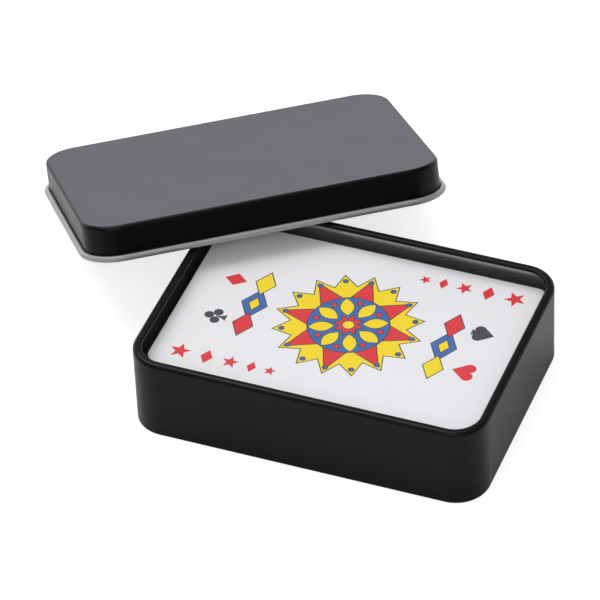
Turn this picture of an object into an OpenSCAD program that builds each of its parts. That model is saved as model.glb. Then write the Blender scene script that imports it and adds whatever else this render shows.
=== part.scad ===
// Flat tin for playing cards: a seamless drawn base with an inward curled rim, a slip-over lid with an
// outward curled edge, laid slantwise across the base's back left corner, and the deck of cards inside.
// The origin is the middle of the base's underside. X runs along the long side, Y to the back, Z up.

/* [Cards] */
// Length of a card
card_l = 88; // [84:0.5:92]
// Width of a card
card_w = 57; // [54:0.5:64]
// Thickness of a card
card_t = 0.325; // [0.28:0.005:0.36]
// Corner radius of a card
card_r = 3.3; // [2:0.1:5]
// Cards in one suit
suit_cards = 13; // [5:1:13]
// Wild cards on top of the suits
wild_cards = 2; // [1:1:4]

/* [Base] */
// Thickness of the tinplate
sheet_t = 0.25; // [0.2:0.01:0.3]
// Room between a card's end and the curled rim, at each end of a centred deck
end_room = 0.45; // [0.35:0.05:2]
// Room between a card's long edge and the curled rim, at each side of a centred deck
side_room = 2.65; // [2.4:0.05:5]
// Room between the deck and the curled rim where the deck has slid to the back
back_room = 0.35; // [0.3:0.05:0.6]
// Height from the top card to the mouth of the base
head_room = 5.35; // [4.6:0.05:9]
// Outer radius of the base's upright corners
base_r = 8.9; // [7:0.1:11]
// Outer radius of the bend between the wall and the floor
foot_r = 0.6; // [0.4:0.05:1.2]
// Width of the inward curl along the rim
rim_w = 2.3; // [1.8:0.1:2.8]
// Height of the inward curl along the rim
rim_h = 1.2; // [1:0.05:1.6]
// Outer radius of the bend between the wall and the rim
rim_r = 1; // [0.6:0.05:1.2]
// Slit left between the curl's edge and the wall
rim_slit = 0.2; // [0.1:0.05:0.4]

/* [Lid] */
// Clearance all round between the base's wall and the lid's wall
slip_gap = 0.25; // [0.15:0.05:0.5]
// Height of the lid from its curled edge to its top
lid_h = 9.3; // [7:0.1:11]
// Outer radius of the lid's upright corners
lid_r = 8.9; // [7.5:0.1:9.2]
// Outer radius of the bend between the lid's top and its wall
lid_edge_r = 1; // [0.6:0.05:1.6]
// Diameter of the outward curl along the lid's edge
curl_d = 1.65; // [1.3:0.05:2.2]
// Sweep of the curl, from the wall's foot round to its free edge
curl_sweep = 300; // [240:5:300]

/* [Lid at rest] */
// Turn of the lid about the upright axis, in degrees
lid_turn = 35.3; // [25:0.1:50]
// Distance along the lid from the axis of the base's corner to the lid's middle
lid_slide = 6.8; // [2:0.1:12]
// Distance that the lid's near curl reaches past the axis of the base's corner
lid_reach = 6.5; // [4:0.1:10]
// Gap between the lid's curl and the base's rim where it leans
lean_gap = 0.6; // [0.3:0.05:0.8]

/* [Hidden] */
$fn = 64;
// Tiny gap between pieces that lie on one another
rest_gap = 0.05;
suits = ["spades", "hearts", "clubs", "diamonds"];
ranks = ["ace", "two", "three", "four", "five", "six", "seven", "eight", "nine", "ten", "jack", "queen", "king"];
suit_names = [for (s = suits, r = [0 : suit_cards - 1]) str(ranks[r], "_of_", s)];
wild_names = [for (w = [1 : wild_cards]) str("wild_card_", w)];
card_names = concat(suit_names, wild_names);
card_count = len(card_names);

base_l = card_l + 2 * (end_room + rim_w);
base_w = card_w + 2 * (side_room + rim_w);
deck_z = sheet_t + rest_gap;
deck_y = side_room - back_room;
base_h = deck_z + card_count * card_t + rest_gap + head_room;

lid_wall_l = base_l + 2 * (slip_gap + sheet_t);
lid_wall_w = base_w + 2 * (slip_gap + sheet_t);
curl_r = curl_d / 2;
// Half the distance between the curls' centres across the lid
curl_half = lid_wall_w / 2 - sheet_t + curl_r;
// The far curl lies on the ground and the near curl leans on the rim
lid_tilt = asin((base_h + lean_gap) / (2 * curl_half));
lid_z = (base_h + lean_gap) / 2 + curl_r - curl_r * cos(lid_tilt);
lid_back = curl_half * cos(lid_tilt) - lid_reach;
lid_x = -(base_l / 2 - base_r) + lid_slide * cos(lid_turn) - lid_back * sin(lid_turn);
lid_y = base_w / 2 - base_r + lid_slide * sin(lid_turn) + lid_back * cos(lid_turn);

// Part of a flat ring, from angle a0 through sweep degrees; the cut side is a wedge of up to 180 degrees
module ring_arc(r, t, a0, sweep) {
    open = 360 - sweep;
    reach = 2 * r;
    cut = [for (k = [0 : 2]) reach * [cos(a0 + sweep + k * open / 2), sin(a0 + sweep + k * open / 2)]];
    difference() {
        circle(r);
        circle(r - t);
        polygon(concat([[0, 0]], cut));
    }
}

// A quarter of a flat ring, in the quadrant given by the signs sx and sy
module quarter_ring(r, t, sx, sy) {
    intersection() {
        difference() {
            circle(r);
            circle(r - t);
        }
        translate([sx < 0 ? -r : 0, sy < 0 ? -r : 0])
            square(r);
    }
}

// A rectangle of length l and width w with corners of radius r
module rounded_rect(l, w, r) {
    square([l - 2 * r, w], center = true);
    square([l, w - 2 * r], center = true);
    for (x = [-1, 1], y = [-1, 1])
        translate([x * (l / 2 - r), y * (w / 2 - r)])
            circle(r);
}

// Carries a wall profile round a rounded rectangle of length l, width w and corner radius r.
// The profile's x is measured outward from the corner's axis, and its y upward.
module drawn_round(l, w, r) {
    for (side = [0 : 3]) {
        across = side % 2 == 0 ? l : w;
        along = side % 2 == 0 ? w : l;
        rotate([0, 0, side * 90]) {
            translate([across / 2 - r, 0, 0])
                rotate([90, 0, 0])
                    linear_extrude(height = along - 2 * r, center = true)
                        children();
            translate([across / 2 - r, along / 2 - r, 0])
                rotate_extrude(angle = 90)
                    children();
        }
    }
}

// The base's wall: floor strip, foot bend, straight wall and the flattened curl turned inward
module base_profile() {
    curl_bend = rim_h / 2;
    curl_in = base_r - rim_w + curl_bend;
    square([base_r - foot_r, sheet_t]);
    translate([base_r - foot_r, foot_r])
        quarter_ring(foot_r, sheet_t, 1, -1);
    translate([base_r - sheet_t, foot_r])
        square([sheet_t, base_h - rim_r - foot_r]);
    translate([base_r - rim_r, base_h - rim_r])
        quarter_ring(rim_r, sheet_t, 1, 1);
    translate([curl_in, base_h - sheet_t])
        square([rim_w - curl_bend - rim_r, sheet_t]);
    translate([curl_in, base_h - curl_bend])
        ring_arc(curl_bend, sheet_t, 90, 180);
    translate([curl_in, base_h - rim_h])
        square([base_r - sheet_t - rim_slit - curl_in, sheet_t]);
}

// The lid's wall: top strip, edge bend, straight wall and the round curl turned outward
module lid_profile() {
    translate([0, lid_h - sheet_t])
        square([lid_r - lid_edge_r, sheet_t]);
    translate([lid_r - lid_edge_r, lid_h - lid_edge_r])
        quarter_ring(lid_edge_r, sheet_t, 1, 1);
    translate([lid_r - sheet_t, curl_r])
        square([sheet_t, lid_h - lid_edge_r - curl_r]);
    translate([lid_r - sheet_t + curl_r, curl_r])
        ring_arc(curl_r, sheet_t, 180, curl_sweep);
}

// Drawn base, one piece of black lacquered tinplate
module tin_base() {
    color("#26272a") {
        drawn_round(base_l, base_w, base_r)
            base_profile();
        translate([-base_l / 2 + base_r, -base_w / 2 + base_r, 0])
            cube([base_l - 2 * base_r, base_w - 2 * base_r, sheet_t]);
    }
}

// Drawn lid, lying aslant with its far curl on the ground and its near curl on the base's rim
module lid() {
    color("#5c5d63")
        translate([lid_x, lid_y, lid_z])
            rotate([0, 0, lid_turn])
                rotate([-lid_tilt, 0, 0]) {
                    drawn_round(lid_wall_l, lid_wall_w, lid_r)
                        lid_profile();
                    translate([-lid_wall_l / 2 + lid_r, -lid_wall_w / 2 + lid_r, lid_h - sheet_t])
                        cube([lid_wall_l - 2 * lid_r, lid_wall_w - 2 * lid_r, sheet_t]);
                }
}

// One card of the deck, counted from the floor of the base; the top card lies free on the rest
module card(level) {
    free = level == card_count - 1 ? rest_gap : 0;
    color(level % 2 == 0 ? "#f2f1f4" : "#e4e3e8")
        translate([0, deck_y, deck_z + level * card_t + free])
            linear_extrude(height = card_t)
                rounded_rect(card_l, card_w, card_r);
}

tin_base();
lid();
for (level = [0 : card_count - 1])
    card(level);
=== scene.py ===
# Looks of a flat card tin: lacquered base and lid, bare tinplate inside, printed cards, studio and camera.
import math

import bpy
from mathutils import Matrix, Vector

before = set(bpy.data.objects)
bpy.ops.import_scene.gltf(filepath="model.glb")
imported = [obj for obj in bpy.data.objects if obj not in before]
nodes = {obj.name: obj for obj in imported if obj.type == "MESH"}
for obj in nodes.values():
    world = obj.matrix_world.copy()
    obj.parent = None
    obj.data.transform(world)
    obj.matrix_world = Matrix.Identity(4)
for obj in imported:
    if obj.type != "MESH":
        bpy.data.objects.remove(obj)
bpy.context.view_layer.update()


class Wire:  # a socket on which sums can be written
    def __init__(self, sheet, socket):
        self.sheet, self.socket = sheet, socket

    def __add__(self, other):
        return self.sheet.math("ADD", self, other)

    def __sub__(self, other):
        return self.sheet.math("SUBTRACT", self, other)

    def __rsub__(self, other):
        return self.sheet.math("SUBTRACT", other, self)

    def __mul__(self, other):
        return self.sheet.math("MULTIPLY", self, other)

    def __truediv__(self, other):
        return self.sheet.math("DIVIDE", self, other)

    __radd__ = __add__
    __rmul__ = __mul__


class Sheet:  # a node tree that is written as expressions
    def __init__(self, owner):
        owner.use_nodes = True
        self.tree = owner.node_tree
        self.tree.nodes.clear()

    def node(self, kind, settings=None, sockets=None, out=0):
        made = self.tree.nodes.new("ShaderNode" + kind)
        for name, value in (settings or {}).items():
            setattr(made, name, value)
        for name, value in (sockets or {}).items():
            if isinstance(value, Wire):
                self.tree.links.new(value.socket, made.inputs[name])
            else:
                made.inputs[name].default_value = value
        return Wire(self, made.outputs[out]) if made.outputs else None

    def math(self, operation, *values, clamp=False):
        return self.node("Math", {"operation": operation, "use_clamp": clamp}, dict(enumerate(values)))

    def coat(self, mask, under, over):  # one colour over another where the mask is 1
        return self.node("Mix", {"data_type": "RGBA"}, {0: mask, 6: under, 7: over}, out=2)

    def blend(self, mask, under, over):  # one number over another where the mask is 1
        return self.node("Mix", {"data_type": "FLOAT"}, {0: mask, 2: under, 3: over})

    def below(self, value, edge, soft):  # 1 where the value is under the edge, 0 over it
        return self.math("MULTIPLY_ADD", value - edge, -1.0 / soft, 0.5, clamp=True)

    def above(self, value, edge, soft):  # 1 where the value is over the edge, 0 under it
        return self.math("MULTIPLY_ADD", value - edge, 1.0 / soft, 0.5, clamp=True)

    def either(self, *masks):
        joined = masks[0]
        for mask in masks[1:]:
            joined = self.math("MAXIMUM", joined, mask)
        return joined

    def split(self, vector):
        made = self.node("SeparateXYZ", None, {0: vector})
        return [Wire(self, socket) for socket in made.socket.node.outputs]

    def noise(self, place, scale, detail):
        return self.node("TexNoise", None, {"Vector": place, "Scale": scale, "Detail": detail})

    def millimetres(self):  # the place on the piece, in the part's frame
        metres = self.node("TexCoord", out=3)
        return self.node("VectorMath", {"operation": "SCALE"}, {0: metres, "Scale": 1000.0})

    def seen(self):  # 1 for what the camera sees, and 1 for what metal and glass show
        rays = self.node("LightPath").socket.node.outputs
        inMetal, inGlass = Wire(self, rays["Is Glossy Ray"]), Wire(self, rays["Is Transmission Ray"])
        return Wire(self, rays["Is Camera Ray"]), self.either(inMetal, inGlass)

    def roundedBox(self, x, y, radius):
        # signed distance to the corner of a box whose faces are x = 0 and y = 0, rounded by the radius
        overX, overY = x + radius, y + radius
        cornerX, cornerY = self.math("MAXIMUM", overX, 0.0), self.math("MAXIMUM", overY, 0.0)
        corner = self.math("SQRT", cornerX * cornerX + cornerY * cornerY)
        return corner + self.math("MINIMUM", self.math("MAXIMUM", overX, overY), 0.0) - radius

    def fromOutline(self, x, y, length, width, radius):
        # signed distance in plan to a rounded rectangle about the origin, below zero inside it
        beyondX, beyondY = self.math("ABSOLUTE", x) - length / 2, self.math("ABSOLUTE", y) - width / 2
        return self.roundedBox(beyondX, beyondY, radius)

    def surface(self, sockets):
        shader = self.node("BsdfPrincipled", None, sockets)
        self.node("OutputMaterial", None, {"Surface": shader})


def shadeOf(colour, level):
    return tuple(level * c for c in colour) + (1,)


def greyOf(level):
    return (level, level, level, 1)


def dress(node, material):
    mesh = nodes[node].data
    mesh.materials.clear()
    mesh.materials.append(material)


# Lacquered tinplate: sizes in millimetres, colours linear; the bare side was the inner side of the sheet
baseSizes = {"length": 93.5, "width": 66.9, "radius": 8.9, "sheet": 0.25, "underCurl": 21.9,
             "underCurlSoft": 0.1}
lidSizes = {"turn": 35.3, "tilt": 20.206, "place": (-47.267, 49.618, 11.976), "length": 94.5, "width": 67.9,
            "radius": 8.9, "height": 9.3, "edge": 1.0, "sheet": 0.25, "curlRadius": 0.825,
            "overCurl": 0.02, "offWall": 0.08}
baseCoat = {"black": (0.0032, 0.0032, 0.0034), "ior": 1.27, "rough": 0.28,
            "bare": (0.60, 0.60, 0.585), "bareRough": 0.27}
lidCoat = {"black": (0.0018, 0.0018, 0.0022), "ior": 1.26, "rough": 0.26,
           "bare": (0.47, 0.47, 0.46), "bareRough": 0.62}
finish = {"broad": (0.08, 3.0), "peel": (1.6, 2.0), "grain": (6.0, 2.0),  # scale and detail of each noise
          "blackSpread": 0.3, "bareSpread": 0.08, "broadRough": 0.10, "grainRough": 0.06,
          "bareRoughSpread": 0.06, "peelShare": 0.6, "grainShare": 0.4,
          "bump": 0.25, "depth": 0.00001, "soft": 0.05}  # the bump's depth is in metres


def tinMaterial(name, coat, bareSide):
    material = bpy.data.materials.new(name)
    sheet = Sheet(material)
    place = sheet.millimetres()
    broad, peel, grain = [sheet.noise(place, *finish[kind]) for kind in ("broad", "peel", "grain")]
    bare = bareSide(sheet, place)
    darkest, lightest = [shadeOf(coat["black"], 1 + side * finish["blackSpread"]) for side in (-1, 1)]
    black = sheet.coat(grain, darkest, lightest)
    dullest, brightest = [shadeOf(coat["bare"], 1 + side * finish["bareSpread"]) for side in (-1, 1)]
    metal = sheet.coat(broad, dullest, brightest)
    lacquerRough = coat["rough"] + (broad - 0.5) * finish["broadRough"] + (grain - 0.5) * finish["grainRough"]
    metalRough = coat["bareRough"] + (broad - 0.5) * finish["bareRoughSpread"]
    roughness = sheet.blend(bare, lacquerRough, metalRough)
    height = (peel * finish["peelShare"] + grain * finish["grainShare"]) * (1.0 - bare)
    normal = sheet.node("Bump", None, {
        "Strength": finish["bump"], "Distance": finish["depth"], "Height": height})
    sheet.surface({"Base Color": sheet.coat(bare, black, metal), "Roughness": roughness, "Metallic": bare,
                   "IOR": coat["ior"], "Normal": normal})
    return material


def baseInside(sheet, place):
    # the inner face of the wall below the curl, and the floor's upper face
    s, soft = baseSizes, finish["soft"]
    x, y, z = sheet.split(place)
    outward = sheet.fromOutline(x, y, s["length"], s["width"], s["radius"])
    inner = sheet.below(outward, -s["sheet"] / 2, soft)
    return inner * sheet.below(z, s["underCurl"], s["underCurlSoft"]) * sheet.above(z, s["sheet"] / 2, soft)


def lidInside(sheet, place):
    # the lid's inside and the outer side of its curl, worked out in the lid's own frame
    s, soft = lidSizes, finish["soft"]
    curl, half = s["curlRadius"], s["sheet"] / 2
    turned = sheet.node("Mapping", {"vector_type": "TEXTURE"}, {
        "Vector": place, "Location": s["place"],
        "Rotation": (math.radians(-s["tilt"]), 0.0, math.radians(s["turn"]))})
    x, y, z = sheet.split(turned)
    outward = sheet.fromOutline(x, y, s["length"], s["width"], s["radius"])
    skin = sheet.roundedBox(outward, z - s["height"], s["edge"])
    inner = sheet.below(skin, -half, soft)
    acrossCurl, upCurl = outward - (curl - s["sheet"]), z - curl
    fromCurl = sheet.math("SQRT", acrossCurl * acrossCurl + upCurl * upCurl)
    convex = sheet.above(fromCurl, curl - half, soft) * sheet.below(z, 2 * curl + s["overCurl"], soft)
    clear = sheet.either(sheet.above(outward, s["offWall"], soft), sheet.below(z, curl, soft))
    return sheet.either(inner, convex * clear)


dress("tin_base", tinMaterial("blackLacquer", baseCoat, baseInside))
dress("lid", tinMaterial("satinLacquer", lidCoat, lidInside))
print("tinplate done")

# Cards: sizes in millimetres, inks and paper linear
card = {"centre": (0.0, 2.3), "length": 88.0, "width": 57.0, "thick": 0.325, "floor": 0.3,
        "paper": (0.85, 0.845, 0.875), "mottle": (0.12, 2.0), "mottleShade": 0.97, "fibre": (2.5, 4.0),
        "edge": (0.66, 0.66, 0.67), "seamStart": 0.42, "seamSoft": 0.06, "seamShade": 0.35,
        "rough": 0.55, "roughSpread": 0.15, "inkGloss": 0.12, "ior": 1.45, "bump": 0.15, "depth": 0.00002,
        "facing": 0.5, "facingSoft": 0.1}
inks = {"red": (0.74, 0.034, 0.046), "yellow": (0.94, 0.70, 0.012), "blue": (0.042, 0.150, 0.470),
        "dark": (0.060, 0.060, 0.068)}
press = {"outline": 0.28, "soft": 0.05}


class Print:  # inks laid over one another on a card's face, in millimetres from its middle
    def __init__(self, sheet, x, y):
        self.sheet, self.x, self.y = sheet, x, y
        self.colour, self.mask = shadeOf(inks["dark"], 1), None

    def lay(self, ink, distance, grow=0.0):  # a shape whose signed distance is below zero gets the ink
        shape = self.sheet.below(distance, grow, press["soft"])
        self.colour = self.sheet.coat(shape, self.colour, shadeOf(inks[ink], 1))
        self.mask = self.sheet.either(self.mask, shape) if self.mask else shape

    def outlined(self, ink, distance):
        self.lay("dark", distance)
        self.lay(ink, distance, -press["outline"])

    def at(self, across, along, turn=0.0, size=1.0):  # the place seen from a point, turned and scaled
        c, s = math.cos(turn) / size, math.sin(turn) / size
        x, y = self.x - across, self.y - along
        return x * c + y * s, y * c - x * s


def folded(sheet, x, y, points, turn=0.0):  # one half ray of a figure that repeats round the middle
    radius = sheet.math("SQRT", x * x + y * y)
    angle = sheet.math("PINGPONG", sheet.math("ARCTAN2", y, x) + turn, math.pi / points)
    return radius * sheet.math("COSINE", angle), radius * sheet.math("SINE", angle)


def star(sheet, x, y, points, tip, notch):
    # distance to the straight edge from a tip to its notch, in the folded half ray
    fx, fy = folded(sheet, x, y, points)
    nx, ny = notch * math.cos(math.pi / points), notch * math.sin(math.pi / points)
    length = math.hypot(nx - tip, ny)
    return fx * (ny / length) + fy * ((tip - nx) / length) - tip * ny / length


def lozenge(sheet, x, y, halfX, halfY):
    # sum of the two offsets as shares of the half widths, scaled back to a distance
    scale = halfX * halfY / math.hypot(halfX, halfY)
    return (sheet.math("ABSOLUTE", x) * (1 / halfX) + sheet.math("ABSOLUTE", y) * (1 / halfY) - 1.0) * scale


def disc(sheet, x, y, radius):
    return sheet.math("SQRT", x * x + y * y) - radius


def beads(sheet, x, y, points, middle, radius):  # discs in a ring
    fx, fy = folded(sheet, x, y, points)
    return disc(sheet, fx - middle, fy, radius)


def petals(sheet, x, y, points, middle, halfWidth, spread):
    # two parabolas back to back, between the rays: y / halfWidth = 1 - (x - middle)^2 / spread
    fx, fy = folded(sheet, x, y, points, math.pi / points)
    return (fy / halfWidth + (fx - middle) * (fx - middle) / spread - 1.0) * halfWidth


def heart(sheet, x, y):
    # two discs, and the wedge between their tangents, from the tip at (0, -1) to where they touch
    side = sheet.math("ABSOLUTE", x)
    lobe = disc(sheet, side - 0.5, y - 0.42, 0.52)
    wedge = sheet.math("MAXIMUM", side * 0.770 - (y + 1.0) * 0.637, y + side * 0.368 - 0.42)
    return sheet.math("MINIMUM", lobe, wedge)


def stem(sheet, x, y):
    # a foot that widens with the square of its depth below the middle
    depth = y + 0.15
    halfWidth = depth * depth * 0.45 + 0.07
    across = sheet.math("ABSOLUTE", x) - halfWidth
    return sheet.math("MAXIMUM", across, sheet.math("ABSOLUTE", y + 0.55) - 0.45)


def pip(sheet, suit, x, y):  # a suit's sign, about 2 high
    if suit == "heart":
        return heart(sheet, x, y)
    if suit == "diamond":
        return lozenge(sheet, x, y, 0.78, 1.0)
    if suit == "spade":
        return sheet.math("MINIMUM", heart(sheet, x * 1.08, (y - 0.06) * -1.08), stem(sheet, x, y))
    upper = disc(sheet, x, y - 0.52, 0.42)
    lower = disc(sheet, sheet.math("ABSOLUTE", x) - 0.5, y + 0.14, 0.42)
    return sheet.math("MINIMUM", sheet.math("MINIMUM", upper, lower), stem(sheet, x, y))


wildCard = {
    "row": {"across": 36.6, "along": 22.6, "sizes": (2.9, 2.6, 2.3, 2.0, 1.7), "pitch": 2.45,
            "points": 5, "notch": 0.42, "slim": 0.62},
    "flank": {"across": 25.4, "lozenges": (("blue", 0.0, 3.6, 6.0), ("red", 8.2, 2.9, 4.8),
                                           ("yellow", -8.2, 2.9, 4.8), ("yellow", 0.0, 1.7, 2.9))},
    "pips": {"size": 3.0, "places": (("spade", "dark", 33.2, 7.4), ("heart", "red", 33.2, -7.4),
                                     ("club", "dark", -33.2, -7.4), ("diamond", "red", -33.2, 7.4))},
    "sunburst": ((star, "yellow", 16, 19.5, 15.0), (star, "red", 8, 18.2, 9.6), (disc, "blue", 10.6),
                 (petals, "yellow", 8, 6.9, 2.0, 11.6), (beads, "red", 8, 8.6, 0.95),
                 (star, "red", 8, 4.4, 2.6), (disc, "yellow", 1.7), (beads, "blue", 16, 16.9, 0.8))}
suitCard = {"pips": ((0.0, 0.0, 0.5, 8.0), (-38.5, 23.0, 0.5, 2.4), (38.5, -23.0, -0.5, 2.4))}
lattice = {"pitch": 2.0, "line": 0.7, "lineSoft": 0.1, "margin": 4.0, "radius": 2.0}


def wildFace(sheet, x, y):
    page = Print(sheet, x, y)
    row, flank, pips = wildCard["row"], wildCard["flank"], wildCard["pips"]
    for side in (-1, 1):  # stars and lozenges in turn, smaller away from the corner
        away = 0.0
        for k, size in enumerate(row["sizes"]):
            px, py = page.at(side * (row["across"] - away), side * row["along"], -side * math.pi / 2)
            if k % 2 == 0:
                page.lay("red", star(sheet, px, py, row["points"], size, size * row["notch"]))
            else:
                page.lay("red", lozenge(sheet, px, py, size, size * row["slim"]))
            away += size * row["pitch"]
    for side in (-1, 1):  # lozenges on both sides of the sunburst
        for ink, along, halfX, halfY in flank["lozenges"]:
            px, py = page.at(side * flank["across"], side * along)
            page.outlined(ink, lozenge(sheet, px, py, halfX, halfY))
    for suit, ink, across, along in pips["places"]:
        px, py = page.at(across, along, math.pi / 2 if across < 0 else -math.pi / 2, pips["size"])
        page.lay(ink, pip(sheet, suit, px, py))
    for shape, ink, *sizes in wildCard["sunburst"]:
        page.outlined(ink, shape(sheet, x, y, *sizes))
    return page


def suitFace(suit, ink):
    def face(sheet, x, y):
        page = Print(sheet, x, y)
        for across, along, halfTurns, size in suitCard["pips"]:
            px, py = page.at(across, along, halfTurns * math.pi, size)
            page.lay(ink, pip(sheet, suit, px, py))
        return page
    return face


def backLattice(sheet, x, y):
    # crossed slanting lines inside a plain border
    pitch, margin = lattice["pitch"], lattice["margin"]
    slant = sheet.math("PINGPONG", x + y, pitch) + sheet.math("PINGPONG", x - y, pitch)
    lines = sheet.above(sheet.math("ABSOLUTE", slant - pitch), lattice["line"], lattice["lineSoft"])
    fieldLength, fieldWidth = card["length"] - 2 * margin, card["width"] - 2 * margin
    field = sheet.fromOutline(x, y, fieldLength, fieldWidth, lattice["radius"])
    return lines * sheet.below(field, 0.0, press["soft"])


def cardMaterial(name, face):
    material = bpy.data.materials.new(name)
    sheet = Sheet(material)
    place = sheet.millimetres()
    facing = sheet.split(sheet.node("TexCoord", out=1))[2]
    x, y, z = sheet.split(place)
    x, y = x - card["centre"][0], y - card["centre"][1]
    fibre, mottle = sheet.noise(place, *card["fibre"]), sheet.noise(place, *card["mottle"])
    paper = sheet.coat(mottle, shadeOf(card["paper"], card["mottleShade"]), shadeOf(card["paper"], 1.0))
    # painted shade: the side of the stack is darkened at each seam between two cards, standing in for the
    # shade in the gap between them
    layer = sheet.math("FRACT", (z - card["floor"]) / card["thick"])
    seamPaintedShade = sheet.above(sheet.math("ABSOLUTE", layer - 0.5), card["seamStart"], card["seamSoft"])
    edgeWithPaintedSeamShade = sheet.coat(seamPaintedShade, shadeOf(card["edge"], 1.0), shadeOf(card["edge"], card["seamShade"]))
    page = face(sheet, x, y)
    front = sheet.above(facing, card["facing"], card["facingSoft"])
    back = sheet.below(facing, -card["facing"], card["facingSoft"])
    printedBack = sheet.coat(backLattice(sheet, x, y), paper, shadeOf(inks["blue"], 1.0))
    colour = sheet.coat(front, edgeWithPaintedSeamShade, sheet.coat(page.mask, paper, page.colour))
    colour = sheet.coat(back, colour, printedBack)
    roughness = card["rough"] + (fibre - 0.5) * card["roughSpread"] - page.mask * front * card["inkGloss"]
    normal = sheet.node("Bump", None, {"Strength": card["bump"], "Distance": card["depth"], "Height": fibre})
    sheet.surface({"Base Color": colour, "Roughness": roughness, "IOR": card["ior"], "Normal": normal})
    return material


faces = {"wild": cardMaterial("wildCard", wildFace)}
for suit, ink in (("spade", "dark"), ("heart", "red"), ("club", "dark"), ("diamond", "red")):
    faces[suit + "s"] = cardMaterial(suit + "Card", suitFace(suit, ink))
for name in nodes:
    if name not in ("tin_base", "lid"):
        dress(name, faces.get(name.split("_")[-1], faces["wild"]))
print("cards done")

# Studio, in metres and watts: a white floor and backdrop, bright low down at the back and dark at the front
studio = {"floorSize": 8.0, "floorFront": 0.35, "floorColour": 0.7, "floorGlow": 0.7, "floorInMetal": 0.1,
          "behind": (-0.38, 0.92), "low": 1.0, "high": 0.22, "front": 0.10, "horizon": 0.45, "haze": 0.2,
          "level": 0.45}
white = (1.0, 1.0, 1.0)
lamps = (  # name, size, place, what it is aimed at, watts and tint
    ("keyBox", (1.0, 1.0), (-0.52, 0.3, 1.27), (0, 0, 0), 10.2, white),
    ("frontFill", (0.9, 0.6), (0.2, -0.95, 0.8), (0, 0, 0), 3.3, white),
    ("backStrip", (3.0, 0.5), (-0.65, 1.35, 0.2), (0, 0, 0.05), 8.9, (0.76, 0.79, 1.0)))

half = studio["floorSize"] / 2
floorMesh = bpy.data.meshes.new("floor")
corners = [(-half, -half, 0), (half, -half, 0), (half, half, 0), (-half, half, 0)]
floorMesh.from_pydata(corners, [], [(0, 1, 2, 3)])
floor = bpy.data.objects.new("floor", floorMesh)
bpy.context.scene.collection.objects.link(floor)
floor.location = (0, half - studio["floorFront"], 0)
floorMaterial = bpy.data.materials.new("paleFloor")
sheet = Sheet(floorMaterial)
byCamera, inMetal = sheet.seen()
shade = sheet.node("BsdfDiffuse", None, {"Color": greyOf(studio["floorColour"])})
strength = byCamera * studio["floorGlow"] + inMetal * studio["floorInMetal"]
glow = sheet.node("Emission", None, {"Color": greyOf(1.0), "Strength": strength})
sheet.node("OutputMaterial", None, {"Surface": sheet.node("AddShader", None, {0: shade, 1: glow})})
floorMesh.materials.append(floorMaterial)

world = bpy.data.worlds.new("studioWorld")
bpy.context.scene.world = world
sheet = Sheet(world)
byCamera, inMetal = sheet.seen()
x, y, z = sheet.split(sheet.node("TexCoord"))
towardBack = x * studio["behind"][0] + y * studio["behind"][1]
backward = sheet.math("MULTIPLY_ADD", towardBack, 0.5, 0.5, clamp=True)
low = sheet.blend(backward, studio["front"], studio["low"])
level = sheet.blend(sheet.above(z, studio["horizon"], studio["haze"]), low, studio["high"])
around = sheet.node("CombineXYZ", None, {0: level, 1: level, 2: level})
lit = sheet.coat(inMetal, greyOf(studio["level"]), around)
backdrop = sheet.node("Background", None, {"Color": sheet.coat(byCamera, lit, greyOf(1.0))})
sheet.node("OutputWorld", None, {"Surface": backdrop})

for name, size, place, target, watts, tint in lamps:
    lamp = bpy.data.lights.new(name, "AREA")
    lamp.shape = "RECTANGLE"
    lamp.size, lamp.size_y = size
    lamp.energy, lamp.color = watts, tint
    made = bpy.data.objects.new(name, lamp)
    bpy.context.scene.collection.objects.link(made)
    made.location = place
    made.rotation_euler = (Vector(target) - Vector(place)).to_track_quat("-Z", "Y").to_euler()

# Camera, in metres: its place, the directions of the picture's right and down, and where it looks
view = {"place": (0.309847, -0.782790, 0.758535), "right": (0.93475, 0.35385, -0.03243),
        "down": (0.20913, -0.62163, -0.75489), "ahead": (-0.28727, 0.69884, -0.65505),
        "lens": 267.70, "sensor": 36.0}
cameraData = bpy.data.cameras.new("photoCamera")
cameraData.lens, cameraData.sensor_width = view["lens"], view["sensor"]
camera = bpy.data.objects.new("photoCamera", cameraData)
bpy.context.scene.collection.objects.link(camera)
axes = Matrix((view["right"], [-c for c in view["down"]], [-c for c in view["ahead"]])).transposed()
camera.matrix_world = Matrix.Translation(view["place"]) @ axes.to_4x4()
bpy.context.scene.camera = camera
bpy.context.scene.view_settings.view_transform = "Standard"
print("studio done")
